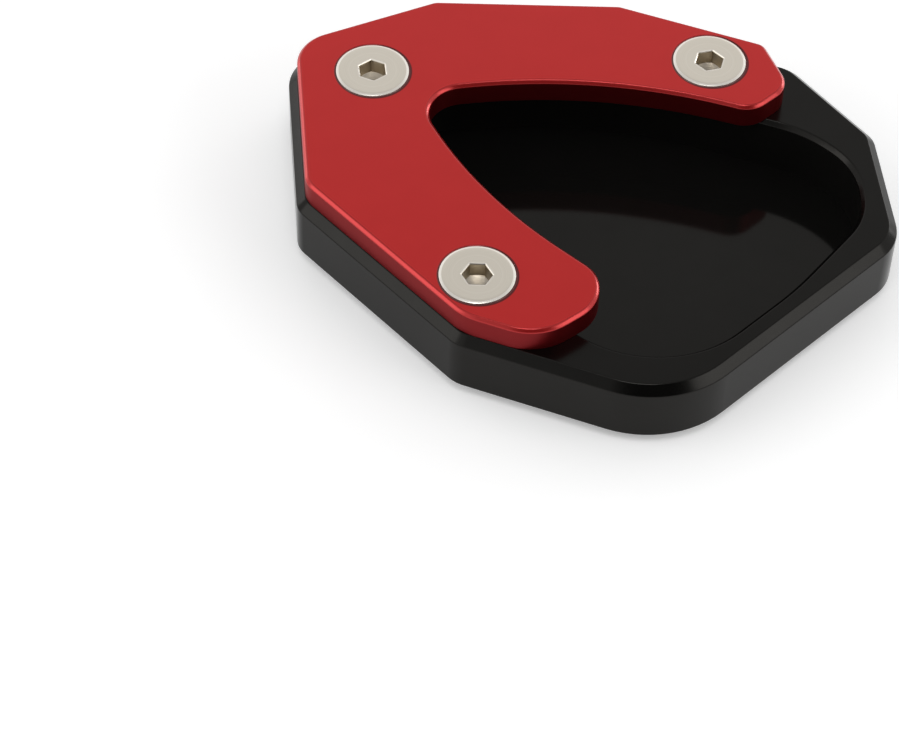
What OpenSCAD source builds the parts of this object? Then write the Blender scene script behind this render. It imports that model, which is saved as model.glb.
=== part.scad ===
// Kickstand foot enlarger.
// A wide base with a pocket takes the foot of a motorcycle's side stand. A V shaped clamp
// plate lies on the base, reaches over the pocket from two sides and holds the foot down
// with three countersunk screws.
// Millimetres, +Z up. The origin is on the ground, under the middle of the base.
// Every outline is a chain of straight edges. An edge is given by the direction in which it
// faces, by its reach, which is its distance from the middle point of the layout, and by the
// radius of the corner that ends it.

/* [Base] */
// Thickness of the base, from the ground to its rim
base_thickness = 12; // [10:0.5:16]
// Thickness of the floor under the pocket
floor_thickness = 2.5; // [1.5:0.5:4]
// Width of the sloping edge around the rim
rim_chamfer = 1.4; // [0.6:0.1:2.5]
// Width of the sloping edge around the ground face
ground_chamfer = 1.9; // [0.6:0.1:2.5]

/* [Base outline] */
// Reach of the left edge
left_reach = 44.5; // [42:0.1:48]
// Reach of the slanted edge at the left front
left_front_reach = 34.9; // [33:0.1:37]
// Reach of the front edge
front_reach = 35.1; // [33:0.1:37]
// Reach of the slanted edge at the right front
right_front_reach = 39.2; // [37:0.1:42]
// Reach of the right edge
right_reach = 47.4; // [46:0.1:50]
// Reach of the slanted edge at the right back
right_back_reach = 45.3; // [44:0.1:47]
// Reach of the edge between the right back edge and the back edge
back_right_reach = 39.7; // [39:0.1:41]
// Reach of the back edge
back_reach = 39.9; // [39:0.1:41]
// Reach of the slanted edge at the left back
left_back_reach = 46.3; // [45:0.1:48]
// Radius of the base's tightest corners
tight_corner_radius = 4.5; // [4:0.1:6]
// Radius of the corners at the left front and at the right back
soft_corner_radius = 6; // [4:0.1:8]
// Radius of the corners at the right and at the left back
round_corner_radius = 8.3; // [5:0.1:10]
// Radius of the wide corner at the front
front_corner_radius = 17; // [10:0.5:20]

/* [Pocket] */
// Wall between the pocket and the right front edge
right_front_wall = 4.2; // [3:0.1:6]
// Wall between the pocket and the right edge
right_wall = 4.6; // [4:0.1:7]
// Wall between the pocket and the right back edge
right_back_wall = 9.6; // [8:0.1:11]
// How far the clamp plate covers the pocket at the mouth's back edge
back_cover = 2.9; // [2:0.1:3.5]
// How far the clamp plate covers the pocket at the mouth's left edge
left_cover = 4.2; // [2:0.1:6]
// Width of the sloping edge around the pocket's rim
pocket_chamfer = 0.7; // [0.3:0.1:1]
// How much further the pocket's right front side reaches where it bows out
pocket_side_bulge = 1; // [0.5:0.1:1.5]
// Radius of the bow of the pocket's right front side
pocket_side_bow = 60; // [30:1:70]
// Radius of the pocket's two corners at the right
pocket_right_radius = 12.5; // [8:0.5:15]
// Radius of the pocket's corner at the right back
pocket_back_radius = 21; // [12:0.5:26]
// Radius of the bow of the pocket's back side
pocket_back_bow = 80; // [40:1:90]
// Radius of the pocket's front corner
pocket_front_radius = 18; // [12:0.5:20]
// Radius of the pocket's inner end, under the clamp plate
pocket_inner_radius = 10; // [6:0.5:14]

/* [Clamp plate] */
// Thickness of the clamp plate
clamp_thickness = 4.2; // [3.8:0.1:6]
// Width of the bevel around the clamp plate's upper face
clamp_bevel = 0.5; // [0.2:0.1:0.9]
// Reach of the mouth's long edge, along the front arm
mouth_front_reach = 14; // [12:0.1:15]
// Reach of the mouth's short edge, between the front arm and the inner end
mouth_left_reach = 16.3; // [15.5:0.1:17.5]
// Reach of the mouth's back edge beside the inner end
mouth_back_left_reach = 22.1; // [21:0.1:23]
// Reach of the mouth's back edge along the back arm
mouth_back_right_reach = 22.3; // [21.5:0.1:23.5]
// Radius of the mouth's inner end
mouth_inner_radius = 5.8; // [4:0.1:7]
// Radius of the gentle bow of the front arm
front_arm_bow = 80; // [60:1:100]
// Radius of the gentle bow of the back arm
back_arm_bow = 86; // [60:1:100]
// Reach of the front arm's slanted end
front_arm_reach = 21.6; // [20.5:0.1:22.5]
// Reach of the front arm's outermost side, to the right
front_arm_side_reach = 0.5; // [-0.5:0.1:1.5]
// Reach of the back arm's slanted end, to the front
back_arm_reach = 7.2; // [6.2:0.1:8]
// Reach of the back arm's outermost side, to the right
back_arm_side_reach = 38.1; // [37:0.1:39]
// Radius of the clamp plate's corner at the left
clamp_left_radius = 5; // [3:0.1:6]
// Radius of the clamp plate's corner at the left front
clamp_left_front_radius = 9.5; // [4:0.5:12]
// Radius of the front arm's corner at the front
front_arm_front_radius = 9.3; // [5:0.1:10]
// Radius of the front arm's corner at the right
front_arm_right_radius = 7.3; // [4:0.1:8]
// Radius of the front arm's corner at the mouth
front_arm_mouth_radius = 5.5; // [3:0.1:7]
// Radius of the back arm's corner at the mouth
back_arm_mouth_radius = 4.6; // [2:0.1:5.5]
// Radius of the back arm's corner at the right
back_arm_right_radius = 4.6; // [2:0.1:5.5]
// Radius of the back arm's corner at the back
back_arm_back_radius = 2; // [1:0.1:3]

/* [Screws] */
// Diameter of the screw's thread
thread_diameter = 6; // [5:0.5:6]
// Length of the screw, from the top of its head to its end
screw_length = 12; // [10:0.5:12.5]
// Diameter of the screw's head
head_diameter = 11.6; // [10.5:0.1:12.5]
// Height of the straight band around the head
head_band = 0.22; // [0.14:0.02:0.6]
// How far the head stands above the clamp plate
head_rise = 0.12; // [0:0.02:0.14]
// Width across the flats of the hexagon socket
socket_width = 4; // [3:0.5:5]
// Depth of the hexagon socket
socket_depth = 2.4; // [1.5:0.1:3]
// Width of the sloping edge at the screw's end
screw_end_chamfer = 0.6; // [0.3:0.1:1]
// Gap between the head's cone and its seat
seat_gap = 0.05; // [0.02:0.01:0.1]
// How much wider the clamp plate's holes are than the thread
hole_play = 0.6; // [0.3:0.1:1]
// How much wider the base's holes are than the thread
thread_play = 0.1; // [0.05:0.05:0.2]
// Free depth under the end of a screw
hole_spare = 1.2; // [0.5:0.1:2]
// How far the left screw is turned when it is tight
left_screw_turn = 38; // [0:1:60]
// How far the right screw is turned when it is tight
right_screw_turn = 16; // [0:1:60]
// How far the front screw is turned when it is tight
front_screw_turn = 0; // [0:1:60]
// Distance of the left screw from the clamp plate's left edge
left_screw_inset = 11.8; // [10:0.1:13]
// Distance of the left screw from the clamp plate's left back edge
left_screw_end = 11; // [10:0.1:13]
// Distance of the right screw from the clamp plate's edge behind it
right_screw_inset = 7.1; // [6.8:0.1:8]
// Distance of the right screw from the end of the back arm
right_screw_end = 9.9; // [9:0.1:11]
// Distance of the front screw from the clamp plate's left front edge
front_screw_inset = 7; // [6.8:0.1:8]
// Distance of the front screw from the clamp plate's front edge
front_screw_end = 8.2; // [7.5:0.1:10]

/* [Hidden] */

// Most degrees and most millimetres of arc between two points of an outline
ARC_STEP = 5;
ARC_LENGTH = 2;
// Most of an edge that the arcs at its two ends take together
ARC_SHARE = 0.99;
// Facets of a round bore or screw
BORE_FN = 96;
// How far a cut runs past the face that it starts from
CUT = 1;
// Slopes of the screw's head and of the bottom of its socket, from the level
HEAD_SLOPE = 45;
SOCKET_POINT_SLOPE = 30;
SOCKET_SIDES = 6;

// Directions of the base's edges, in degrees to the left of the X axis
LEFT = 186;
LEFT_FRONT = 223.5;
FRONT = 250.6;
RIGHT_FRONT = 315;
RIGHT = 7;
RIGHT_BACK = 39;
BACK_RIGHT = 71;
BACK = 90.8;
LEFT_BACK = 115.4;

// Directions of the edges that only the clamp plate has
FRONT_ARM_END = 309;
FRONT_ARM_SIDE = 3.6;
MOUTH_FRONT = 49.9;
MOUTH_LEFT = 27.7;
MOUTH_BACK_LEFT = 281;
MOUTH_BACK_RIGHT = 253.4;
BACK_ARM_END = 314;
BACK_ARM_SIDE = 22.3;

// Directions of the pocket's edges that don't run along one of the base's
POCKET_BULGE = 322.9;
POCKET_RIGHT = 2.7;
POCKET_RIGHT_BACK = 44.6;
POCKET_BACK_RIGHT = 72;
POCKET_BACK_LEFT = 97;
POCKET_LEFT = 216;

clamp_top = base_thickness + clamp_thickness;
screw_top = clamp_top + head_rise;
block_width = 2 * (left_reach + right_reach);
pocket_side_reach = right_front_reach - right_front_wall;

// Edges of the base, once around
left_edge = [LEFT, left_reach, tight_corner_radius];
left_front_edge = [LEFT_FRONT, left_front_reach, soft_corner_radius];
front_edge = [FRONT, front_reach, front_corner_radius];
right_front_edge = [RIGHT_FRONT, right_front_reach, round_corner_radius];
right_edge = [RIGHT, right_reach, tight_corner_radius];
right_back_edge = [RIGHT_BACK, right_back_reach, soft_corner_radius];
back_right_edge = [BACK_RIGHT, back_right_reach, tight_corner_radius];
back_edge = [BACK, back_reach, tight_corner_radius];
left_back_edge = [LEFT_BACK, left_back_reach, round_corner_radius];
base_edges = [
    left_edge,
    left_front_edge,
    front_edge,
    right_front_edge,
    right_edge,
    right_back_edge,
    back_right_edge,
    back_edge,
    left_back_edge
];

// An edge moved inwards, which turns its corner more tightly
function moved(edge, distance) = [edge[0], edge[1] - distance, edge[2] - distance];

// Edges of the clamp plate, once around. Its outer edges stand on the inner edge of the
// base's rim chamfer. Those of the mouth face the middle, so their reach is negative, and
// the bow of each arm is a corner with a very large radius.
clamp_left = [LEFT, left_reach - rim_chamfer, clamp_left_radius];
clamp_left_front = [LEFT_FRONT, left_front_reach - rim_chamfer, clamp_left_front_radius];
clamp_front = [FRONT, front_reach - rim_chamfer, front_arm_front_radius];
back_arm_side = [BACK_ARM_SIDE, back_arm_side_reach, back_arm_back_radius];
clamp_edges = [
    clamp_left,
    clamp_left_front,
    clamp_front,
    [FRONT_ARM_END, front_arm_reach, front_arm_right_radius],
    [FRONT_ARM_SIDE, front_arm_side_reach, front_arm_mouth_radius],
    [MOUTH_FRONT, -mouth_front_reach, front_arm_bow],
    [MOUTH_LEFT, -mouth_left_reach, mouth_inner_radius],
    [MOUTH_BACK_LEFT, -mouth_back_left_reach, back_arm_bow],
    [MOUTH_BACK_RIGHT, -mouth_back_right_reach, back_arm_mouth_radius],
    [BACK_ARM_END, back_arm_reach, back_arm_right_radius],
    back_arm_side,
    moved(back_right_edge, rim_chamfer),
    moved(back_edge, rim_chamfer),
    moved(left_back_edge, rim_chamfer)
];

// Edges of the pocket, once around from its right front side
pocket_edges = [
    [RIGHT_FRONT, pocket_side_reach, pocket_side_bow],
    [POCKET_BULGE, pocket_side_reach + pocket_side_bulge, pocket_right_radius],
    [POCKET_RIGHT, right_reach - right_wall, pocket_right_radius],
    [POCKET_RIGHT_BACK, right_back_reach - right_back_wall, pocket_back_radius],
    [POCKET_BACK_RIGHT, mouth_back_right_reach + back_cover, pocket_back_bow],
    [POCKET_BACK_LEFT, mouth_back_left_reach + back_cover, pocket_inner_radius],
    [POCKET_LEFT, mouth_front_reach + left_cover, pocket_front_radius]
];

// Point where two edges cross
function meet(a, b) =
    let (turn = sin(b[0] - a[0]))
    [(a[1] * sin(b[0]) - b[1] * sin(a[0])) / turn, (b[1] * cos(a[0]) - a[1] * cos(b[0])) / turn];

// Turn from one edge to the next, positive to the left, and at most half a turn
function turn_between(a, b) =
    let (turn = (b[0] - a[0]) % 360)
    turn > 180 ? turn - 360 : turn <= -180 ? turn + 360 : turn;

// Length of edge that the arc at the corner of two edges takes away
function tangent(a, b) = a[2] * tan(abs(turn_between(a, b)) / 2);

// Share of its radius that a corner can have before the arcs on an edge run into each other
function room(a, b, c) =
    ARC_SHARE * norm(meet(b, c) - meet(a, b)) / (tangent(a, b) + tangent(b, c));

// Arc at the corner of edges b and c, which lie between a and d, moved inwards by inset
function corner(a, b, c, d, inset) =
    let (
        turn = turn_between(b, c),
        side = sign(turn),
        asked = b[2] * min(1, room(a, b, c), room(b, c, d)),
        centre = meet([b[0], b[1] - side * asked], [c[0], c[1] - side * asked]),
        radius = asked - side * inset,
        steps = ceil(abs(turn) * max(1 / ARC_STEP, asked * PI / 180 / ARC_LENGTH))
    )
    [for (k = [0 : steps]) let (angle = b[0] + turn * k / steps)
        centre + side * radius * [cos(angle), sin(angle)]];

// The whole outline as points, moved inwards by inset
function outline(edges, inset) =
    let (n = len(edges))
    [for (i = [0 : n - 1])
        let (before = edges[(i + n - 1) % n], next = edges[(i + 1) % n], after = edges[(i + 2) % n])
        each corner(before, edges[i], next, after, inset)];

// The middle of the base's bounding box is the origin
base_points = outline(base_edges, 0);
middle = [
    (max([for (p = base_points) p[0]]) + min([for (p = base_points) p[0]])) / 2,
    (max([for (p = base_points) p[1]]) + min([for (p = base_points) p[1]])) / 2
];

// Where two lines cross that lie at given distances inside two of the clamp plate's edges
function crossing(edge_a, inset_a, edge_b, inset_b) = meet(moved(edge_a, inset_a), moved(edge_b, inset_b));
screw_places = [
    crossing(clamp_left, left_screw_inset, left_back_edge, rim_chamfer + left_screw_end),
    crossing(back_right_edge, rim_chamfer + right_screw_inset, back_arm_side, right_screw_end),
    crossing(clamp_left_front, front_screw_inset, clamp_front, front_screw_end)
];
screw_turns = [left_screw_turn, right_screw_turn, front_screw_turn];

// A closed solid skinned over the outline. Each level is a height and the inset there.
module skinned(edges, levels) {
    count = len(outline(edges, 0));
    last_ring = (len(levels) - 1) * count;
    points = [
        for (level = levels)
            for (p = outline(edges, level[1]))
                [p[0] - middle[0], p[1] - middle[1], level[0]]
    ];
    bottom = [for (i = [0 : count - 1]) i];
    top = [for (i = [count - 1 : -1 : 0]) last_ring + i];
    sides = [
        for (ring = [0 : len(levels) - 2])
            for (i = [0 : count - 1])
                let (a = ring * count + i, b = ring * count + (i + 1) % count)
                [a, a + count, b + count, b]
    ];
    polyhedron(points, concat([bottom], sides, [top]));
}

// What lies between two heights. It gives a skinned solid its flat faces in one piece.
module between(low, high) {
    intersection() {
        translate([-block_width / 2, -block_width / 2, low])
            cube([block_width, block_width, high - low]);
        children();
    }
}

module at_screws() {
    for (i = [0 : len(screw_places) - 1])
        translate([screw_places[i][0] - middle[0], screw_places[i][1] - middle[1], 0])
            rotate([0, 0, screw_turns[i]])
                children();
}

module base_plate() {
    color("#242322")
        difference() {
            between(0, base_thickness)
                skinned(base_edges, [
                    [-CUT, ground_chamfer + CUT],
                    [ground_chamfer, 0],
                    [base_thickness - rim_chamfer, 0],
                    [base_thickness + CUT, rim_chamfer + CUT]
                ]);
            pocket();
            at_screws()
                threaded_hole();
        }
}

module pocket() {
    between(floor_thickness, base_thickness + CUT)
        skinned(pocket_edges, [
            [floor_thickness - CUT, 0],
            [base_thickness - pocket_chamfer, 0],
            [base_thickness + 2 * CUT, -pocket_chamfer - 2 * CUT]
        ]);
}

// Blind hole at the thread's full width, a little deeper than the screw's end
module threaded_hole() {
    radius = (thread_diameter + thread_play) / 2;
    bottom = screw_top - screw_length - hole_spare;
    translate([0, 0, bottom])
        cylinder(r = radius, h = base_thickness + CUT - bottom, $fn = BORE_FN);
}

module clamp_plate() {
    color("#b42c2e")
        difference() {
            between(base_thickness, clamp_top)
                skinned(clamp_edges, [
                    [base_thickness - CUT, 0],
                    [clamp_top - clamp_bevel, 0],
                    [clamp_top + CUT, clamp_bevel + CUT]
                ]);
            at_screws()
                countersunk_hole();
        }
}

module countersunk_hole() {
    radius = (thread_diameter + hole_play) / 2;
    mouth = head_diameter / 2 + (head_band - head_rise) / tan(HEAD_SLOPE) + seat_gap / sin(HEAD_SLOPE);
    depth = (mouth - radius) * tan(HEAD_SLOPE);
    translate([0, 0, base_thickness - CUT])
        cylinder(r = radius, h = clamp_thickness + 2 * CUT, $fn = BORE_FN);
    translate([0, 0, clamp_top])
        rotate_extrude($fn = BORE_FN)
            polygon([
                [0, CUT],
                [mouth + CUT / tan(HEAD_SLOPE), CUT],
                [radius, -depth],
                [0, -depth]
            ]);
}

module countersunk_screws() {
    color("#cdc8bd")
        at_screws()
            translate([0, 0, screw_top])
                countersunk_screw();
}

// One screw, with the top of its head at zero
module countersunk_screw() {
    head = head_diameter / 2;
    shank = thread_diameter / 2;
    cone = (head - shank) * tan(HEAD_SLOPE);
    socket_corners = socket_width / cos(180 / SOCKET_SIDES);
    point = socket_width / 2 * tan(SOCKET_POINT_SLOPE);
    difference() {
        rotate_extrude($fn = BORE_FN)
            polygon([
                [0, 0],
                [head, 0],
                [head, -head_band],
                [shank, -head_band - cone],
                [shank, -screw_length + screw_end_chamfer],
                [shank - screw_end_chamfer, -screw_length],
                [0, -screw_length]
            ]);
        translate([0, 0, -socket_depth])
            cylinder(d = socket_corners, h = socket_depth + CUT, $fn = SOCKET_SIDES);
        translate([0, 0, -socket_depth - point])
            rotate_extrude($fn = BORE_FN)
                polygon([[0, 0], [socket_width / 2, point], [0, point + CUT / 2]]);
    }
}

base_plate();
clamp_plate();
countersunk_screws();
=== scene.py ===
# %% [markdown]
# # A wide foot for a motorcycle's side stand
# The real object is bolted together from a thick black base with a pocket, a red clamp plate
# shaped like a V, and three stainless countersunk screws. The solids are made elsewhere and
# arrive here as a fixed frame. This lesson gives them their looks: softly broken edges,
# anodised and turned metal, and the light of a small studio.
# Everything is in metres, and one millimetre has a name of its own, so that sizes read as a
# maker would say them.

# %% Load the frame
import math
import bpy
import bmesh
from mathutils import Matrix, Vector


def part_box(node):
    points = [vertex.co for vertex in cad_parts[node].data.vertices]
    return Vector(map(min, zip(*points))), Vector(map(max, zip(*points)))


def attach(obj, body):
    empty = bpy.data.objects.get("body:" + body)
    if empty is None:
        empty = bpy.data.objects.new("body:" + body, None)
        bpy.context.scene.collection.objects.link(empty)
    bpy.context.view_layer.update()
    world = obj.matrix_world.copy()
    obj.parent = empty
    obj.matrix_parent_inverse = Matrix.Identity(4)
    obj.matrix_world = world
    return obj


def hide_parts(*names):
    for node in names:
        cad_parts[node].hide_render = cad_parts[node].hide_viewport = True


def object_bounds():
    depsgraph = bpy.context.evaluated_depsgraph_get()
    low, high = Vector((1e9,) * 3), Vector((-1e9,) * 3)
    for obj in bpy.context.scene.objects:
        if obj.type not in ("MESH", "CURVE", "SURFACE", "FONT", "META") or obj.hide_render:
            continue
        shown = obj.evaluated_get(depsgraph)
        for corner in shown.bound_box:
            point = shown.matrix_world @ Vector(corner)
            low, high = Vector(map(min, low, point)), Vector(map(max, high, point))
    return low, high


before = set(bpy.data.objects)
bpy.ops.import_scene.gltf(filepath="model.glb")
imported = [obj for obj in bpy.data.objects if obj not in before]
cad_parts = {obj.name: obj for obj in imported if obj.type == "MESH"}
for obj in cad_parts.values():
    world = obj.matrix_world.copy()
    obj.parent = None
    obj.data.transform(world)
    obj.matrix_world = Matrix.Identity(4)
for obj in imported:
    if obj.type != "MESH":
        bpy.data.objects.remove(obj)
cad_low, cad_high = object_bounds()
MM = 0.001
cad_size = [round(side / MM, 1) for side in cad_high - cad_low]
print("The frame holds", sorted(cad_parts), "and is", cad_size, "mm")

# %% [markdown]
# ## Where the heights and the screws lie
# The frame itself says how high each piece stands. Reading the heights from it keeps the
# finish and the screws on the right faces if a thickness ever changes. It says where the
# screws are as well: the mesh of their node falls apart into three islands, and the middle of
# each is a screw's axis.

# %% Read the heights
RIM_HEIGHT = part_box("base_plate")[1].z
SCREW_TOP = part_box("countersunk_screws")[1].z
print("Rim", round(RIM_HEIGHT / MM, 2), "mm, screw top", round(SCREW_TOP / MM, 2), "mm")

# %% Find the places
SAME_POINT = 0.0005 * MM


def island_middles(node):
    """The middle of each island of a node's mesh, at the height of the screws' tops."""
    shape = bmesh.new()
    shape.from_mesh(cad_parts[node].data)
    bmesh.ops.remove_doubles(shape, verts=shape.verts, dist=SAME_POINT)
    waiting = set(shape.verts)
    middles = []
    while waiting:
        island = []
        front = [waiting.pop()]
        while front:
            vertex = front.pop()
            island.append(vertex.co.copy())
            for edge in vertex.link_edges:
                other = edge.other_vert(vertex)
                if other in waiting:
                    waiting.remove(other)
                    front.append(other)
        low = [min(p[axis] for p in island) for axis in (0, 1)]
        high = [max(p[axis] for p in island) for axis in (0, 1)]
        middles.append(((low[0] + high[0]) / 2, (low[1] + high[1]) / 2, SCREW_TOP))
    shape.free()
    return sorted(middles)


screw_places = island_middles("countersunk_screws")
print("Screws at", [[round(c / MM, 2) for c in place] for place in screw_places], "mm")

# %% [markdown]
# ## The camera
# The photograph was taken with a long lens from above the front, with the camera turned very
# slightly. A point on the clamp plate, the distance to it, the elevation and the roll are
# enough to build the camera's three axes, and its matrix is made from them directly.

# %% Camera
AIM = Vector((-20.5, -39.8, 16.2)) * MM
CAMERA_DISTANCE = 428.4 * MM
CAMERA_ELEVATION = math.radians(49.64)
CAMERA_ROLL = 0.033
LENS = 118.5
SENSOR_WIDTH = 36
NEAREST_SEEN = 0.01


def make_camera():
    backwards = Vector((0, -math.cos(CAMERA_ELEVATION), math.sin(CAMERA_ELEVATION)))
    level_up = Vector((0, math.sin(CAMERA_ELEVATION), math.cos(CAMERA_ELEVATION)))
    level_right = Vector((1, 0, 0))
    right = level_right * math.cos(CAMERA_ROLL) + level_up * math.sin(CAMERA_ROLL)
    up = level_up * math.cos(CAMERA_ROLL) - level_right * math.sin(CAMERA_ROLL)
    turn = Matrix((right, up, backwards)).transposed().to_4x4()
    data = bpy.data.cameras.new("camera")
    data.lens = LENS
    data.sensor_width = SENSOR_WIDTH
    data.clip_start = NEAREST_SEEN
    camera = bpy.data.objects.new("camera", data)
    camera.matrix_world = Matrix.Translation(AIM + backwards * CAMERA_DISTANCE) @ turn
    bpy.context.scene.collection.objects.link(camera)
    bpy.context.scene.camera = camera
    return camera


camera = make_camera()
print("Camera at", [round(c / MM) for c in camera.matrix_world.translation], "mm")

# %% [markdown]
# ## Helpers for node trees
# A material and a Geometry Nodes tree are both made of nodes and links. One helper adds a node
# and sets its settings, a second fills in plain values, and the others add the few kinds of
# node that come up again and again. With them each tree below can be read from top to bottom,
# in the order in which the values flow.

# %% Node helpers
def add(tree, kind, **settings):
    node = tree.nodes.new(kind)
    for name, setting in settings.items():
        setattr(node, name, setting)
    return node


def value(node, **inputs):
    for name, number in inputs.items():
        node.inputs[name.replace("_", " ")].default_value = number
    return node


def maths(tree, operation, first, second=None):
    node = add(tree, "ShaderNodeMath", operation=operation)
    for socket, source in zip(node.inputs, (first, second)):
        if isinstance(source, (int, float)):
            socket.default_value = source
        elif source is not None:
            tree.links.new(source, socket)
    return node.outputs[0]


print("Helpers ready: add, value, maths")

# %% Colour and range helpers
def blend_colours(tree, amount, first, second):
    node = add(tree, "ShaderNodeMix", data_type="RGBA")
    tree.links.new(amount, node.inputs["Factor"])
    node.inputs["A"].default_value = (*first, 1)
    node.inputs["B"].default_value = (*second, 1)
    return node.outputs["Result"]


def lay_over(tree, amount, below, colour):
    """A colour laid over what is below it, by an amount that counts from 0 to 1."""
    node = add(tree, "ShaderNodeMix", data_type="RGBA", clamp_factor=True)
    tree.links.new(amount, node.inputs["Factor"])
    tree.links.new(below, node.inputs["A"])
    node.inputs["B"].default_value = (*colour, 1)
    return node.outputs["Result"]


def smooth_range(tree, amount, **limits):
    """A number that moves smoothly between two limits while the amount does."""
    node = add(tree, "ShaderNodeMapRange", interpolation_type="SMOOTHSTEP")
    tree.links.new(amount, node.inputs["Value"])
    value(node, **limits)
    return node.outputs[0]


def seen_in_metal_or_glass(tree, path):
    """1 for a ray that a glossy or a clear thing sends out, and 0 for any other."""
    return maths(tree, "MAXIMUM", path.outputs["Is Glossy Ray"], path.outputs["Is Transmission Ray"])


print("Helpers ready: blend_colours, lay_over, smooth_range, seen_in_metal_or_glass")

# %% [markdown]
# ## The studio's world
# Polished black shows nothing but its surroundings, so the surroundings matter as much as the
# colour. The room has pale walls, a ceiling that is less bright than they are, and one dark
# corner at the front, where nothing lights the object. A picture of a real room could do the
# same, but a few smooth ranges need no file, and each has a number that can be tuned. The
# background that the camera, glossy metal and clear things see is plain white, which the
# Light Path node picks out low down, around the horizon.

# %% World
WALL_LIGHT = 1.05
CEILING_LIGHT = 0.62
CEILING_FROM = 0.68
CEILING_FULL = 0.80
DARK_CORNER = Vector((0.17, -0.76, 0.63)).normalized()
DARK_CORNER_LIGHT = 0.04
DARK_CORNER_CORE = math.radians(14)
DARK_CORNER_EDGE = math.radians(46)
BACKDROP_TOP = 0.10
BACKDROP_FADE = 0.30
BACKDROP_WHITE = 1.0


def light_of_the_room(tree, direction, up):
    towards = add(tree, "ShaderNodeVectorMath", operation="DOT_PRODUCT")
    tree.links.new(direction, towards.inputs[0])
    towards.inputs[1].default_value = DARK_CORNER
    room = smooth_range(
        tree,
        up,
        From_Min=CEILING_FROM,
        From_Max=CEILING_FULL,
        To_Min=WALL_LIGHT,
        To_Max=CEILING_LIGHT,
    )
    lit = smooth_range(
        tree,
        towards.outputs["Value"],
        From_Min=math.cos(DARK_CORNER_EDGE),
        From_Max=math.cos(DARK_CORNER_CORE),
        To_Min=1,
        To_Max=DARK_CORNER_LIGHT,
    )
    return maths(tree, "MULTIPLY", room, lit)


def make_world():
    world = bpy.data.worlds.new("studio")
    world.use_nodes = True
    bpy.context.scene.world = world
    tree = world.node_tree
    tree.nodes.clear()
    direction = add(tree, "ShaderNodeTexCoord").outputs["Generated"]
    height = add(tree, "ShaderNodeSeparateXYZ")
    tree.links.new(direction, height.inputs[0])
    up = height.outputs["Z"]
    low = smooth_range(tree, up, From_Min=BACKDROP_FADE, From_Max=BACKDROP_TOP, To_Min=0, To_Max=1)
    path = add(tree, "ShaderNodeLightPath")
    mirrored = maths(tree, "MULTIPLY", seen_in_metal_or_glass(tree, path), low)
    seen = maths(tree, "MAXIMUM", path.outputs["Is Camera Ray"], mirrored)
    strength = add(tree, "ShaderNodeMix", data_type="FLOAT")
    tree.links.new(seen, strength.inputs["Factor"])
    tree.links.new(light_of_the_room(tree, direction, up), strength.inputs["A"])
    strength.inputs["B"].default_value = BACKDROP_WHITE
    background = add(tree, "ShaderNodeBackground")
    tree.links.new(strength.outputs["Result"], background.inputs["Strength"])
    output = add(tree, "ShaderNodeOutputWorld")
    tree.links.new(background.outputs[0], output.inputs["Surface"])


make_world()
print("World made: walls", WALL_LIGHT, "ceiling", CEILING_LIGHT, "dark corner", DARK_CORNER_LIGHT)

# %% [markdown]
# ## Soft boxes
# Two large soft boxes stand left and right of the object and draw the bright lines along its
# bevels. Two low panels behind it light the edges at its sides, and a small box overhead
# shines into the screws' sockets. A lamp's brightness as the metal sees it doesn't depend on
# its distance, so each is given as a brightness, where 1 is white, and the power follows from
# its area.

# %% Lamps
def soft_box(name, towards, distance, width, height, brightness):
    data = bpy.data.lights.new(name, "AREA")
    data.shape = "RECTANGLE"
    data.size = width
    data.size_y = height
    data.energy = brightness * math.pi * width * height
    lamp = bpy.data.objects.new(name, data)
    towards = Vector(towards).normalized()
    facing = towards.to_track_quat("Z", "Y").to_matrix().to_4x4()
    lamp.matrix_world = Matrix.Translation(towards * distance) @ facing
    lamp.visible_camera = False
    bpy.context.scene.collection.objects.link(lamp)
    print(name, "shines with", round(data.energy, 3), "W")


soft_box("left_box", (-0.88, -0.19, 0.44), distance=0.7, width=0.40, height=0.34, brightness=1.3)
soft_box("right_box", (0.80, -0.33, 0.50), distance=0.7, width=0.44, height=0.34, brightness=1.5)
soft_box("right_panel", (0.75, 0.66, 0.11), distance=0.8, width=0.36, height=0.16, brightness=4.4)
soft_box("left_panel", (-0.82, 0.56, 0.12), distance=0.8, width=0.30, height=0.16, brightness=1.35)
soft_box("top_box", (-0.02, -0.33, 0.94), distance=0.9, width=0.36, height=0.28, brightness=3.6)

# %% [markdown]
# ## The floor
# The object lies on a plain pale floor. A matt white plane keeps its soft shadow. The camera,
# and glossy and clear things, see it a little lighter in colour and lifted by a little light of
# its own, through the Light Path node, so that it ends as the white of the background.

# %% Floor
FLOOR_SIZE = 6.0
FLOOR_DROP = 0.01 * MM
FLOOR_COLOUR = (0.86, 0.86, 0.86)
FLOOR_COLOUR_SEEN = (0.98, 0.98, 0.98)
FLOOR_LIFT = 0.28


def floor_white():
    material = bpy.data.materials.new("floor_white")
    material.use_nodes = True
    tree = material.node_tree
    tree.nodes.clear()
    path = add(tree, "ShaderNodeLightPath")
    mirrored = seen_in_metal_or_glass(tree, path)
    seen = maths(tree, "MAXIMUM", path.outputs["Is Camera Ray"], mirrored)
    matt = add(tree, "ShaderNodeBsdfDiffuse")
    colour = blend_colours(tree, seen, FLOOR_COLOUR, FLOOR_COLOUR_SEEN)
    tree.links.new(colour, matt.inputs["Color"])
    lift = add(tree, "ShaderNodeEmission")
    tree.links.new(maths(tree, "MULTIPLY", seen, FLOOR_LIFT), lift.inputs["Strength"])
    both = add(tree, "ShaderNodeAddShader")
    tree.links.new(matt.outputs[0], both.inputs[0])
    tree.links.new(lift.outputs[0], both.inputs[1])
    tree.links.new(both.outputs[0], add(tree, "ShaderNodeOutputMaterial").inputs["Surface"])
    return material


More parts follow.
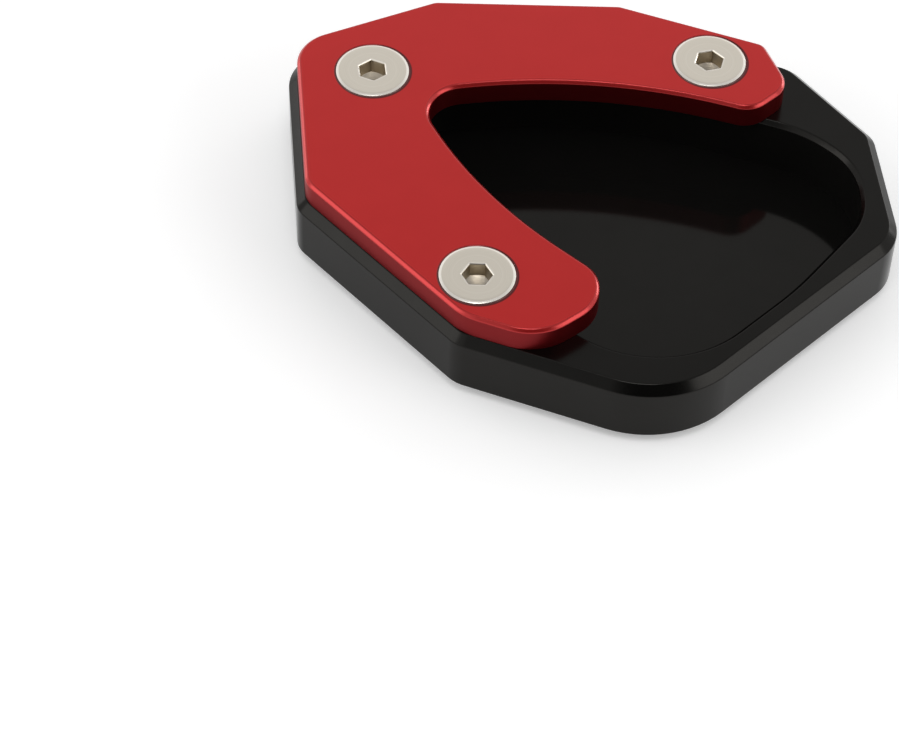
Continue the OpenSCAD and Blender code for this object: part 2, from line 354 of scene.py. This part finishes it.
def make_floor():
    half = FLOOR_SIZE / 2
    around = ((-half, -half), (half, -half), (half, half), (-half, half))
    mesh = bpy.data.meshes.new("floor")
    mesh.from_pydata([(x, y, -FLOOR_DROP) for x, y in around], [], [(0, 1, 2, 3)])
    mesh.materials.append(floor_white())
    floor = bpy.data.objects.new("floor", mesh)
    bpy.context.scene.collection.objects.link(floor)


make_floor()
print("Floor laid,", FLOOR_SIZE, "m wide")

# %% [markdown]
# ## Anodised aluminium
# Anodising grows a thin, clear layer on the metal and soaks it in dye, and the metal shines
# through the dye. Black is therefore a metal that mirrors only a fiftieth of the light, and
# red is a tinted metal under a clear coat. Both keep the fine grain of the blasted surface
# below: a bump far smaller than a millimetre, and a gloss that changes a little from place to
# place. Noise that is read in the object's own coordinates gives both at their real scale, on
# every face. Numbers that are the same everywhere sit on the shader itself.

# %% Shared grain
GRAIN_DEPTH = 0.01 * MM


def grain(tree, size, detail=3.0):
    """Noise with spots of the given size, read in the object's own coordinates."""
    place = add(tree, "ShaderNodeTexCoord").outputs["Object"]
    noise = add(tree, "ShaderNodeTexNoise")
    tree.links.new(place, noise.inputs["Vector"])
    value(noise, Scale=1 / size, Detail=detail)
    return noise.outputs["Fac"]


def between(tree, amount, low, high):
    """Turns an amount from 0 to 1 into a number from low to high."""
    node = add(tree, "ShaderNodeMapRange")
    tree.links.new(amount, node.inputs["Value"])
    value(node, To_Min=low, To_Max=high)
    return node.outputs[0]


def raised(tree, heights, strength, depth, below=None):
    """A bump from heights, laid over another one if there is one below."""
    node = add(tree, "ShaderNodeBump")
    tree.links.new(heights, node.inputs["Height"])
    value(node, Strength=strength, Distance=depth)
    if below is not None:
        tree.links.new(below, node.inputs["Normal"])
    return node.outputs[0]


def new_material(name):
    material = bpy.data.materials.new(name)
    material.use_nodes = True
    return material, material.node_tree, material.node_tree.nodes["Principled BSDF"]


print("Grain, between and raised ready, with bumps", round(GRAIN_DEPTH / MM, 3), "mm deep")

# %% [markdown]
# The black is the same dye all over the base, but its gloss differs. The pocket's floor was
# milled with a large cutter and is the smoothest face, and the pocket's wall, cut with the
# cutter's flank, is the roughest. Inside the pocket there is little to mirror, so a lower
# metallic value lets some of the dye itself show there. The specular tint keeps faces seen at
# a slant from turning pale.

# %% Black
BLACK_DARKEST = (0.0164, 0.0157, 0.0144)
BLACK_LIGHTEST = (0.0200, 0.0191, 0.0177)
BLACK_CLOUDS = 6 * MM
BLACK_GLOSS_SPOTS = 0.9 * MM
BLACK_GRAIN = 0.10 * MM
BLACK_GRAIN_STRENGTH = 0.12
GRAIN_DETAIL = 2.0


def black_anodised(name, smoothest, roughest, metallic, slanted):
    material, tree, shader = new_material(name)
    colour = blend_colours(tree, grain(tree, BLACK_CLOUDS), BLACK_DARKEST, BLACK_LIGHTEST)
    tree.links.new(colour, shader.inputs["Base Color"])
    gloss = between(tree, grain(tree, BLACK_GLOSS_SPOTS), smoothest, roughest)
    tree.links.new(gloss, shader.inputs["Roughness"])
    spots = grain(tree, BLACK_GRAIN, GRAIN_DETAIL)
    fine = raised(tree, spots, BLACK_GRAIN_STRENGTH, GRAIN_DEPTH)
    tree.links.new(fine, shader.inputs["Normal"])
    value(shader, Metallic=metallic, Specular_Tint=(slanted, slanted, slanted, 1))
    print("Made", name)
    return material


black = black_anodised("black_anodised", 0.17, 0.22, metallic=0.88, slanted=0.78)
pocket_black = black_anodised("pocket_black", 0.06, 0.09, metallic=0.68, slanted=0.15)
pocket_wall_black = black_anodised("pocket_wall_black", 0.36, 0.46, metallic=0.70, slanted=0.5)

# %% [markdown]
# The pocket's floor mirrors the clamp plate, and where the mirrored edge falls depends on the
# smallest tilt. The photograph has it nearer than a level mirror would, so the floor's shading
# leans back a little. A height that falls evenly along Y is enough: a Bump node with a
# distance of one metre turns it into exactly that slope, and the floor's shape stays level.

# %% Lean of the pocket's floor
FLOOR_LEAN = math.radians(2.6)


def lean_back(material, angle):
    """Leans the surface's normal towards +Y, where the clamp plate's closed side stands."""
    tree = material.node_tree
    shader = tree.nodes["Principled BSDF"]
    place = add(tree, "ShaderNodeSeparateXYZ")
    tree.links.new(add(tree, "ShaderNodeTexCoord").outputs["Object"], place.inputs[0])
    slope = maths(tree, "MULTIPLY", place.outputs["Y"], -math.tan(angle))
    fine = shader.inputs["Normal"].links[0].from_socket
    tree.links.new(raised(tree, slope, 1.0, 1.0, fine), shader.inputs["Normal"])


lean_back(pocket_black, FLOOR_LEAN)
print(pocket_black.name, "leans back by", round(math.degrees(FLOOR_LEAN), 1), "degrees")

# %% [markdown]
# Red differs more from face to face. The clamp plate's sides were cut with the flank of a tool,
# so they are rougher than its top, and their darker red is painted shade. Its bevel is smoother
# and paler. Three materials from one function keep the grain alike and let the rest differ.

# %% Red
RED_CLOUDS = 5 * MM
RED_GLOSS_SPOTS = 0.7 * MM
RED_GRAIN = 0.12 * MM
RED_GRAIN_STRENGTH = 0.15
COAT_ROUGHNESS = 0.22


def red_anodised(name, darkest, lightest, smoothest, roughest, metallic, coat, slanted):
    material, tree, shader = new_material(name)
    colour = blend_colours(tree, grain(tree, RED_CLOUDS), darkest, lightest)
    tree.links.new(colour, shader.inputs["Base Color"])
    gloss = between(tree, grain(tree, RED_GLOSS_SPOTS), smoothest, roughest)
    tree.links.new(gloss, shader.inputs["Roughness"])
    spots = grain(tree, RED_GRAIN, GRAIN_DETAIL)
    fine = raised(tree, spots, RED_GRAIN_STRENGTH, GRAIN_DEPTH)
    tree.links.new(fine, shader.inputs["Normal"])
    value(shader, Metallic=metallic, Coat_Weight=coat, Coat_Roughness=COAT_ROUGHNESS)
    value(shader, Specular_Tint=(1, slanted, slanted, 1))
    print("Made", name)
    return material


red = red_anodised(
    "red_anodised", (0.57, 0.012, 0.011), (0.61, 0.015, 0.014), 0.28, 0.36,
    metallic=0.93, coat=0.5, slanted=1.0,
)
# The sides' darker red is painted shade; their rougher gloss is the finish of the tool's flank.
red_side = red_anodised(
    "red_side", (0.19, 0.008, 0.010), (0.22, 0.010, 0.012), 0.30, 0.40,
    metallic=0.84, coat=0.08, slanted=0.55,
)
red_edge = red_anodised(
    "red_edge", (0.48, 0.013, 0.013), (0.52, 0.017, 0.017), 0.22, 0.28,
    metallic=0.60, coat=0.5, slanted=0.8,
)

# %% [markdown]
# A painted shade darkens the red in a thin ring round each screw's head, for the gap between
# the head and its countersink, which lies in shade and shows wider towards the front right. It
# is far thinner than a millimetre, so it is painted and not cut: the red turns dark close to the
# nearest screw's axis, and the middle of that dark spot is moved a little towards the front right.

# %% Painted shade round the screws
SCREW_SHADE_SHIFT = Vector((0.12, -0.20, 0)) * MM
SCREW_SHADE_FULL_TO = 6.06 * MM
SCREW_SHADE_GONE_AT = 6.26 * MM
SCREW_SHADE_RED = (0.10, 0.003, 0.003)


def paint_shade_round_screws(material):
    """Paints shade into the red in a thin ring round each screw's head."""
    tree = material.node_tree
    shader = tree.nodes["Principled BSDF"]
    place = add(tree, "ShaderNodeTexCoord").outputs["Object"]
    nearest = None
    for middle in screw_places:
        away = add(tree, "ShaderNodeVectorMath", operation="DISTANCE")
        tree.links.new(place, away.inputs[0])
        away.inputs[1].default_value = Vector(middle) + SCREW_SHADE_SHIFT
        reach = away.outputs["Value"]
        nearest = reach if nearest is None else maths(tree, "MINIMUM", nearest, reach)
    limits = {"From_Min": SCREW_SHADE_FULL_TO, "From_Max": SCREW_SHADE_GONE_AT, "To_Min": 1, "To_Max": 0}
    shade = smooth_range(tree, nearest, **limits)
    plain = shader.inputs["Base Color"].links[0].from_socket
    tree.links.new(lay_over(tree, shade, plain, SCREW_SHADE_RED), shader.inputs["Base Color"])
    print(material.name, "is dark round", len(screw_places), "screws")


paint_shade_round_screws(red)
paint_shade_round_screws(red_edge)

# %% [markdown]
# ## The plates
# Both plates are milled, then their edges are broken, so that no edge is truly sharp. A thin
# bright line along each edge is what makes metal look real. The frame's mesh is loose
# triangles, so a copy of it is merged, its flat faces are joined, and a Bevel modifier rounds
# the outer edges between real faces. Inner corners, such as the one at the foot of the pocket's
# wall, stay as sharp as the cutter left them. A Weighted Normal modifier then keeps the flat
# faces shaded flat. All of it is made part of the mesh before the piece takes the node's place.

# %% Clean copy of a plate
JOINED_WITHIN = math.radians(0.4)
REAL_EDGE = math.radians(20)
BEVEL_WEIGHTS = "bevel_weight_edge"
FRAME_NORMALS = "custom_normal"


def clean_copy(node, name):
    """A merged copy of a node's mesh, with its outer edges marked for the bevel."""
    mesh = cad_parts[node].data.copy()
    mesh.name = name
    shape = bmesh.new()
    shape.from_mesh(mesh)
    bmesh.ops.remove_doubles(shape, verts=shape.verts, dist=SAME_POINT)
    bmesh.ops.dissolve_limit(shape, angle_limit=JOINED_WITHIN, verts=shape.verts, edges=shape.edges)
    broken = shape.edges.layers.float.new(BEVEL_WEIGHTS)
    for edge in shape.edges:
        angle = edge.calc_face_angle_signed(0)
        edge[broken] = 1.0 if angle > REAL_EDGE else 0.0
        edge.smooth = angle > -REAL_EDGE
    shape.to_mesh(mesh)
    shape.free()
    mesh.materials.clear()
    mesh.attributes.remove(mesh.attributes[FRAME_NORMALS])
    mesh.shade_smooth()
    return mesh


print("Edges of more than", round(math.degrees(REAL_EDGE)), "degrees are real")

# %% Plates
BEVEL_STEPS = 3
ALL_BY_AREA = 100


def refined_plate(node, name, rounding, body="root"):
    piece = bpy.data.objects.new(name, clean_copy(node, name))
    bpy.context.scene.collection.objects.link(piece)
    bevel = piece.modifiers.new("broken edges", "BEVEL")
    bevel.width = rounding
    bevel.segments = BEVEL_STEPS
    bevel.limit_method = "WEIGHT"
    bevel.use_clamp_overlap = False
    weighted = piece.modifiers.new("flat faces stay flat", "WEIGHTED_NORMAL")
    weighted.mode = "FACE_AREA"
    weighted.weight = ALL_BY_AREA
    weighted.keep_sharp = True
    evaluated = piece.evaluated_get(bpy.context.evaluated_depsgraph_get())
    finished = bpy.data.meshes.new_from_object(evaluated)
    piece.modifiers.clear()
    piece.data = finished
    finished.name = name
    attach(piece, body)
    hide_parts(node)
    print(name, "has", len(finished.polygons), "faces")
    return piece


base = refined_plate("base_plate", "base_plate_finished", rounding=0.15 * MM)
clamp = refined_plate("clamp_plate", "clamp_plate_finished", rounding=0.16 * MM)

# %% [markdown]
# Each kind of face now gets its own finish. A face could be picked by its number, but that
# changes with every new mesh, so it is chosen by the way it points and by where it lies.

# %% Which face is which
LEVEL = 0.99
UPRIGHT = 0.30
POCKET_MIDDLE = Vector((8, -5, 3)) * MM
POCKET_CHAMFER = 0.8 * MM


def is_pocket_floor(face):
    return face.normal.z > LEVEL and face.center.z < RIM_HEIGHT / 2


def is_pocket_wall(face):
    inwards = (face.center - POCKET_MIDDLE).dot(face.normal) < 0
    low = face.center.z < RIM_HEIGHT - POCKET_CHAMFER
    return inwards and low and abs(face.normal.z) < LEVEL


def is_side(face):
    return abs(face.normal.z) < UPRIGHT


def is_edge(face):
    return UPRIGHT <= face.normal.z <= LEVEL


print("A face is level when its normal rises by more than", LEVEL)

# %% Finish of the plates
def give_main_finish(piece, finish):
    piece.data.materials.append(finish)


def give_finish(piece, finish, chosen):
    piece.data.materials.append(finish)
    faces = [face for face in piece.data.polygons if chosen(face)]
    for face in faces:
        face.material_index = len(piece.data.materials) - 1
    print(piece.name, "has", len(faces), "faces with the finish", finish.name)


give_main_finish(base, black)
give_main_finish(clamp, red)
give_finish(base, pocket_wall_black, is_pocket_wall)
give_finish(base, pocket_black, is_pocket_floor)
give_finish(clamp, red_side, is_side)
give_finish(clamp, red_edge, is_edge)

# %% [markdown]
# ## A turned screw
# A screw is a profile turned about its axis, apart from its hexagon socket and its thread. Both
# fit into one rule. Each point of the profile says how far out and how high it lies, how much
# of the hexagon it follows, and how much thread it carries. Geometry Nodes sweeps the profile
# round a circle and then moves every point to where the rule puts it. A last number paints light
# and shade into the steel's colour: it is 1 at the head's edge and at the socket's edge and
# bottom, a painted highlight, a little in one faint ring on the face, and -1 on the socket's
# flats, a painted shade.

# %% Sizes of the screw
HEAD_RADIUS = 5.8 * MM
HEAD_BAND = 0.22 * MM
SHANK_RADIUS = 3.0 * MM
SCREW_LENGTH = 12.0 * MM
SOCKET_REACH = 2.0 * MM
SOCKET_DEPTH = 2.4 * MM
SOCKET_POINT = SOCKET_REACH * math.tan(math.radians(30))
SOCKET_CHAMFER = 0.14 * MM
END_CHAMFER = 0.6 * MM
THREAD_PITCH = 1.0 * MM
THREAD_DEPTH = 0.55 * MM
print("The screw's head is", round(2 * HEAD_RADIUS / MM, 1), "mm wide")

# %% Profile of the screw
RING_WIDTH = 0.42 * MM
RING_START = 0.03 * MM
RING_SHAPE = ((0, 0.02), (0.4, 0.22), (0.75, 0.45), (0.92, 0.64), (1, 1))
FAINT_RING = ((0.62, 0), (0.645, 0.15), (0.67, 0), (0.85, 0))
DRILLED_SHARE = 0.97
ROUND_SOCKET = (1.12, 0.8)
ROWS_PER_TURN = 8
THREAD_BEGINS = 6
THREAD_ENDS = 4


def head_points():
    """From socket bottom to head edge: out, height, hexagon, thread, marks and painted light."""
    points = [(0, -SOCKET_DEPTH - SOCKET_POINT, 0, 0, 1)]
    points.append((SOCKET_REACH * DRILLED_SHARE, -SOCKET_DEPTH, 0, 0, 1))
    points.append((SOCKET_REACH, -SOCKET_DEPTH, 1, 0, -1))
    points.append((SOCKET_REACH, -SOCKET_CHAMFER, 1, 0, -1))
    points.append((SOCKET_REACH + SOCKET_CHAMFER, 0, 1, 0, 1))
    points.append((SOCKET_REACH * ROUND_SOCKET[0] + SOCKET_CHAMFER, 0, ROUND_SOCKET[1], 0, 0))
    points += [(HEAD_RADIUS * share, 0, 0, 0, bright) for share, bright in FAINT_RING]
    points.append((HEAD_RADIUS - RING_WIDTH - RING_START, 0, 0, 0, 0))
    for share, drop in RING_SHAPE:
        points.append((HEAD_RADIUS - RING_WIDTH * (1 - share), -HEAD_BAND * drop, 0, 0, 1))
    return points


def shank_points():
    """From under the head to the middle of the end, in rows close enough for the thread."""
    cone_end = -HEAD_BAND - (HEAD_RADIUS - SHANK_RADIUS)
    points = [(SHANK_RADIUS, cone_end, 0, 0, 0)]
    rows = round((SCREW_LENGTH + cone_end - END_CHAMFER) / THREAD_PITCH * ROWS_PER_TURN)
    for row in range(1, rows + 1):
        height = cone_end + (-SCREW_LENGTH + END_CHAMFER - cone_end) * row / rows
        thread = min(1, row / THREAD_BEGINS, (rows - row) / THREAD_ENDS)
        points.append((SHANK_RADIUS, height, 0, thread, 0))
    points.append((SHANK_RADIUS - END_CHAMFER, -SCREW_LENGTH, 0, 0, 0))
    points.append((0, -SCREW_LENGTH, 0, 0, 0))
    return points


profile = head_points() + shank_points()
print("The profile has", len(profile), "points")

# %% [markdown]
# The profile becomes a chain of edges, and what each point says is stored on it as attributes.
# The helpers below start a Geometry Nodes tree with named inputs, and read and store such
# attributes.

# %% Geometry Nodes helpers
def new_tree(name, **inputs):
    """A tree that takes a geometry and the named inputs, and gives a geometry back."""
    tree = bpy.data.node_groups.new(name, "GeometryNodeTree")
    tree.interface.new_socket("Geometry", in_out="OUTPUT", socket_type="NodeSocketGeometry")
    tree.interface.new_socket("Geometry", in_out="INPUT", socket_type="NodeSocketGeometry")
    for words, kind in inputs.items():
        label = words.replace("_", " ")
        tree.interface.new_socket(label, in_out="INPUT", socket_type="NodeSocket" + kind)
    return tree


def number(tree, name):
    """A number that each point carries under a name."""
    node = add(tree, "GeometryNodeInputNamedAttribute", data_type="FLOAT")
    node.inputs["Name"].default_value = name
    return node.outputs["Attribute"]


def stored(tree, geometry, name, amount, kind="FLOAT"):
    """The geometry, with an amount stored on its points under a name."""
    node = add(tree, "GeometryNodeStoreNamedAttribute", data_type=kind, domain="POINT")
    tree.links.new(geometry, node.inputs["Geometry"])
    node.inputs["Name"].default_value = name
    tree.links.new(amount, node.inputs["Value"])
    return node.outputs[0]


print("Helpers ready: new_tree, number, stored")

# %% [markdown]
# Curve to Mesh carries the profile round a circle, and every point then knows its share of the
# full turn. From that share follow the two things that aren't round. A hexagon with its flats
# at a distance of 1 reaches out to 1 / cos(angle from the middle of the flat). A thread winds
# along with the height, so its groove lies where height and turn together come to half a
# pitch. Nothing here would stay simple if the socket and thread were cut out afterwards with
# booleans, and a rule leaves no stray faces.

# %% Hexagon and thread
SIDES = 6
CREST = 0.07
GROOVE = 0.40


def hexagon_stretch(tree):
    """How much further out a point lies than on a circle, where it follows the hexagon."""
    sixth = maths(tree, "FRACT", maths(tree, "MULTIPLY", number(tree, "turn_share"), SIDES))
    from_flat = maths(tree, "MULTIPLY", maths(tree, "SUBTRACT", sixth, 0.5), 2 * math.pi / SIDES)
    reach = maths(tree, "DIVIDE", 1.0, maths(tree, "COSINE", from_flat))
    stretch = maths(tree, "SUBTRACT", reach, 1.0)
    return maths(tree, "ADD", 1.0, maths(tree, "MULTIPLY", stretch, number(tree, "hexagon")))


def thread_cut(tree, pitch, depth):
    """How deep the thread cuts in at a point."""
    winding = maths(tree, "DIVIDE", number(tree, "height"), pitch)
    phase = maths(tree, "FRACT", maths(tree, "SUBTRACT", winding, number(tree, "turn_share")))
    away = maths(tree, "ABSOLUTE", maths(tree, "SUBTRACT", phase, 0.5))
    groove = add(tree, "ShaderNodeMapRange")
    tree.links.new(away, groove.inputs["Value"])
    value(groove, From_Min=CREST, From_Max=GROOVE, To_Min=0, To_Max=1)
    cut = maths(tree, "MULTIPLY", groove.outputs[0], depth)
    return maths(tree, "MULTIPLY", cut, number(tree, "thread"))


print("The hexagon has", SIDES, "sides")

# %% Turning tree
CLOSED_WITHIN = 0.001 * MM


def swept_round(tree, geometry, steps):
    """The chain of edges, swept round a circle in the given number of steps."""
    outline = add(tree, "GeometryNodeMeshToCurve")
    tree.links.new(geometry, outline.inputs["Mesh"])
    circle = add(tree, "GeometryNodeCurvePrimitiveCircle")
    tree.links.new(steps, circle.inputs["Resolution"])
    share = maths(tree, "DIVIDE", add(tree, "GeometryNodeInputIndex").outputs[0], steps)
    sweep = add(tree, "GeometryNodeCurveToMesh")
    tree.links.new(stored(tree, circle.outputs[0], "turn_share", share), sweep.inputs["Curve"])
    tree.links.new(outline.outputs[0], sweep.inputs["Profile Curve"])
    return sweep.outputs[0]


def turning_tree():
    tree = new_tree("turn_a_profile", Steps="Int", Thread_pitch="Float", Thread_depth="Float")
    given = add(tree, "NodeGroupInput")
    swept = swept_round(tree, given.outputs["Geometry"], given.outputs["Steps"])
    turned = maths(tree, "MULTIPLY", number(tree, "turn_share"), 2 * math.pi)
    smooth_out = maths(tree, "MULTIPLY", number(tree, "out"), hexagon_stretch(tree))
    cut = thread_cut(tree, given.outputs["Thread pitch"], given.outputs["Thread depth"])
    out = maths(tree, "SUBTRACT", smooth_out, cut)
    place = add(tree, "ShaderNodeCombineXYZ")
    tree.links.new(maths(tree, "MULTIPLY", out, maths(tree, "COSINE", turned)), place.inputs["X"])
    tree.links.new(maths(tree, "MULTIPLY", out, maths(tree, "SINE", turned)), place.inputs["Y"])
    tree.links.new(number(tree, "height"), place.inputs["Z"])
    moved = add(tree, "GeometryNodeSetPosition")
    tree.links.new(swept, moved.inputs["Geometry"])
    tree.links.new(place.outputs[0], moved.inputs["Position"])
    closed = add(tree, "GeometryNodeMergeByDistance")
    tree.links.new(moved.outputs[0], closed.inputs["Geometry"])
    closed.inputs["Distance"].default_value = CLOSED_WITHIN
    position = add(tree, "GeometryNodeInputPosition").outputs[0]
    marked = stored(tree, closed.outputs[0], "on_the_lathe", position, "FLOAT_VECTOR")
    tree.links.new(marked, add(tree, "NodeGroupOutput").inputs["Geometry"])
    return tree


turn_a_profile = turning_tree()
print("Turning tree has", len(turn_a_profile.nodes), "nodes")

# %% [markdown]
# A modifier runs the tree. Its inputs are set by each socket's identifier, which stays the same
# when a name changes, and before the object is evaluated for the first time. The result is
# then made a plain mesh, and the modifier goes.

# %% Turn the screw
TURN_STEPS = 96


def set_inputs(modifier, **inputs):
    for item in modifier.node_group.interface.items_tree:
        name = item.name.replace(" ", "_")
        if item.in_out == "INPUT" and name in inputs:
            modifier[item.identifier] = inputs[name]


def object_from(name, points, edges, **attributes):
    mesh = bpy.data.meshes.new(name)
    mesh.from_pydata(points, edges, [])
    for attribute, numbers in attributes.items():
        mesh.attributes.new(attribute, "FLOAT", "POINT").data.foreach_set("value", numbers)
    made = bpy.data.objects.new(name, mesh)
    bpy.context.scene.collection.objects.link(made)
    return made


def result_of(made, name):
    evaluated = made.evaluated_get(bpy.context.evaluated_depsgraph_get())
    mesh = bpy.data.meshes.new_from_object(evaluated)
    mesh.name = name
    made.modifiers.clear()
    return mesh


one_screw = object_from(
    "one_screw",
    [(out, 0, height) for out, height, *_ in profile],
    [(i, i + 1) for i in range(len(profile) - 1)],
    out=[p[0] for p in profile],
    height=[p[1] for p in profile],
    hexagon=[p[2] for p in profile],
    thread=[p[3] for p in profile],
    bright=[p[4] for p in profile],
)
lathe = one_screw.modifiers.new("lathe", "NODES")
lathe.node_group = turn_a_profile
set_inputs(lathe, Steps=TURN_STEPS, Thread_pitch=THREAD_PITCH, Thread_depth=THREAD_DEPTH)
one_screw.data = result_of(one_screw, "one_screw")
print("One screw has", len(one_screw.data.polygons), "faces")

# %% [markdown]
# ## Stainless steel from the lathe
# The heads were faced on a lathe, which leaves fine rings about the screw's own axis. The rings
# read the place that each point had before its screw was set in the plate, so they are centred
# on every head. Where the profile says so, a painted highlight makes the steel brighter, and
# painted shade makes the socket's flats darker.

# %% Stainless
LATHE_RINGS = 0.16 * MM
RING_STRENGTH = 0.25
TURNED_DARK = (0.74, 0.685, 0.59)
TURNED_LIGHT = (0.83, 0.77, 0.67)
# A painted highlight, also used for the faint ring, and painted shade on the socket's flats
PALE_MARKS_AND_HIGHLIGHT = (1.0, 0.95, 0.87)
SOCKET_SHADE_PAINT = (0.42, 0.36, 0.27)
STEEL_SMOOTHEST = 0.26
STEEL_ROUGHEST = 0.40
STEEL_GRAIN = 0.15 * MM
STEEL_GRAIN_STRENGTH = 0.10


def lathe_rings(tree):
    """Noise that changes only with the distance from the screw's axis."""
    place = add(tree, "ShaderNodeAttribute", attribute_name="on_the_lathe").outputs["Vector"]
    flat = add(tree, "ShaderNodeVectorMath", operation="MULTIPLY")
    tree.links.new(place, flat.inputs[0])
    flat.inputs[1].default_value = (1, 1, 0)
    distance = add(tree, "ShaderNodeVectorMath", operation="LENGTH")
    tree.links.new(flat.outputs[0], distance.inputs[0])
    rings = add(tree, "ShaderNodeTexNoise", noise_dimensions="1D")
    tree.links.new(maths(tree, "DIVIDE", distance.outputs["Value"], LATHE_RINGS), rings.inputs["W"])
    value(rings, Scale=1.0, Detail=3.0)
    return rings.outputs["Fac"]


def stainless_turned():
    material, tree, shader = new_material("stainless_turned")
    rings = lathe_rings(tree)
    turned = blend_colours(tree, rings, TURNED_DARK, TURNED_LIGHT)
    # The profile's last number paints highlights, and shade on the socket's flats, into the colour
    bright = add(tree, "ShaderNodeAttribute", attribute_name="bright").outputs["Fac"]
    with_highlights = lay_over(tree, bright, turned, PALE_MARKS_AND_HIGHLIGHT)
    shaded_flats = lay_over(tree, maths(tree, "MULTIPLY", bright, -1), with_highlights, SOCKET_SHADE_PAINT)
    tree.links.new(shaded_flats, shader.inputs["Base Color"])
    gloss = between(tree, rings, STEEL_SMOOTHEST, STEEL_ROUGHEST)
    tree.links.new(gloss, shader.inputs["Roughness"])
    cut = raised(tree, rings, RING_STRENGTH, GRAIN_DEPTH)
    fine = raised(tree, grain(tree, STEEL_GRAIN), STEEL_GRAIN_STRENGTH, GRAIN_DEPTH, cut)
    tree.links.new(fine, shader.inputs["Normal"])
    value(shader, Metallic=1.0)
    return material


stainless = stainless_turned()
print("Made", stainless.name)

# %% [markdown]
# ## Three screws in their places
# The same screw sits at the three places that were read from the frame. How far each one is
# turned shows at its socket. A second tree copies the screw onto the three points, makes the
# copies real and gives them their metal.

# %% Setting tree
def setting_tree():
    tree = new_tree("set_on_points", Copied="Object", Metal="Material")
    given = add(tree, "NodeGroupInput")
    source = add(tree, "GeometryNodeObjectInfo")
    tree.links.new(given.outputs["Copied"], source.inputs["Object"])
    turn = add(tree, "ShaderNodeCombineXYZ")
    tree.links.new(number(tree, "turn"), turn.inputs["Z"])
    copies = add(tree, "GeometryNodeInstanceOnPoints")
    tree.links.new(given.outputs["Geometry"], copies.inputs["Points"])
    tree.links.new(source.outputs["Geometry"], copies.inputs["Instance"])
    tree.links.new(turn.outputs[0], copies.inputs["Rotation"])
    real = add(tree, "GeometryNodeRealizeInstances")
    tree.links.new(copies.outputs[0], real.inputs["Geometry"])
    metal = add(tree, "GeometryNodeSetMaterial")
    tree.links.new(real.outputs[0], metal.inputs["Geometry"])
    tree.links.new(given.outputs["Metal"], metal.inputs["Material"])
    tree.links.new(metal.outputs[0], add(tree, "NodeGroupOutput").inputs["Geometry"])
    return tree


set_on_points = setting_tree()
print("Setting tree has", len(set_on_points.nodes), "nodes")

# %% Set the screws
SCREW_TURNS = [math.radians(38), math.radians(0), math.radians(16)]
SHARP_FROM = math.radians(35)


def outwards(mesh, sharp_from):
    """Points every face outwards, and keeps the edges that are really sharp."""
    shape = bmesh.new()
    shape.from_mesh(mesh)
    bmesh.ops.recalc_face_normals(shape, faces=shape.faces)
    shape.to_mesh(mesh)
    shape.free()
    mesh.shade_smooth()
    mesh.set_sharp_from_angle(angle=sharp_from)


screws = object_from("countersunk_screws_finished", screw_places, [], turn=SCREW_TURNS)
setter = screws.modifiers.new("setter", "NODES")
setter.node_group = set_on_points
set_inputs(setter, Copied=one_screw, Metal=stainless)
screws.data = result_of(screws, "countersunk_screws_finished")
outwards(screws.data, SHARP_FROM)
bpy.data.objects.remove(one_screw)
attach(screws, "root")
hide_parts("countersunk_screws")
print("The three screws have", len(screws.data.polygons), "faces")

# %% [markdown]
# ## Colours as they are
# The Standard view shows a colour as it was chosen, with no film look on top.

# %% Finish
bpy.context.scene.view_settings.view_transform = "Standard"
